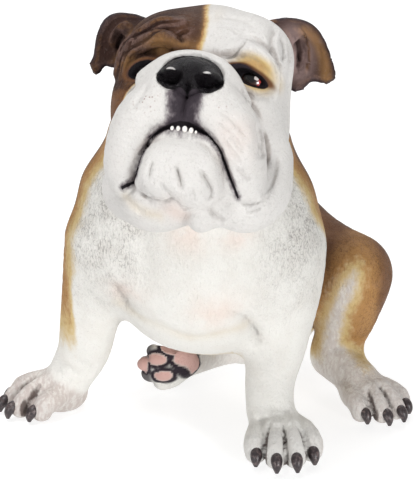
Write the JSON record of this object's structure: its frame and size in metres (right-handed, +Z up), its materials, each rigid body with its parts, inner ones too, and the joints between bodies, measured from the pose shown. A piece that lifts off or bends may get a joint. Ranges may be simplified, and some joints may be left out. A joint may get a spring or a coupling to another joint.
{
  "type": "bulldog garden statue",
  "caption": "Life-size seated bulldog, cast in one hollow piece and painted, that stands on three feet and its rump as a garden or porch ornament.",
  "frame": {"origin": "on the ground, under the middle of the figure's bounding box", "axes": "+Z up, -Y the way the chest and front feet face, +X the dog's own left"},
  "size_m": [0.5168, 0.6012, 0.5244],
  "materials": {
    "painted_resin": "matte hand-painted cast resin, creamy white with brown patches"
  },
  "bodies": {
    "root": {"bulldog": "painted_resin"}
  },
  "joints": []
}
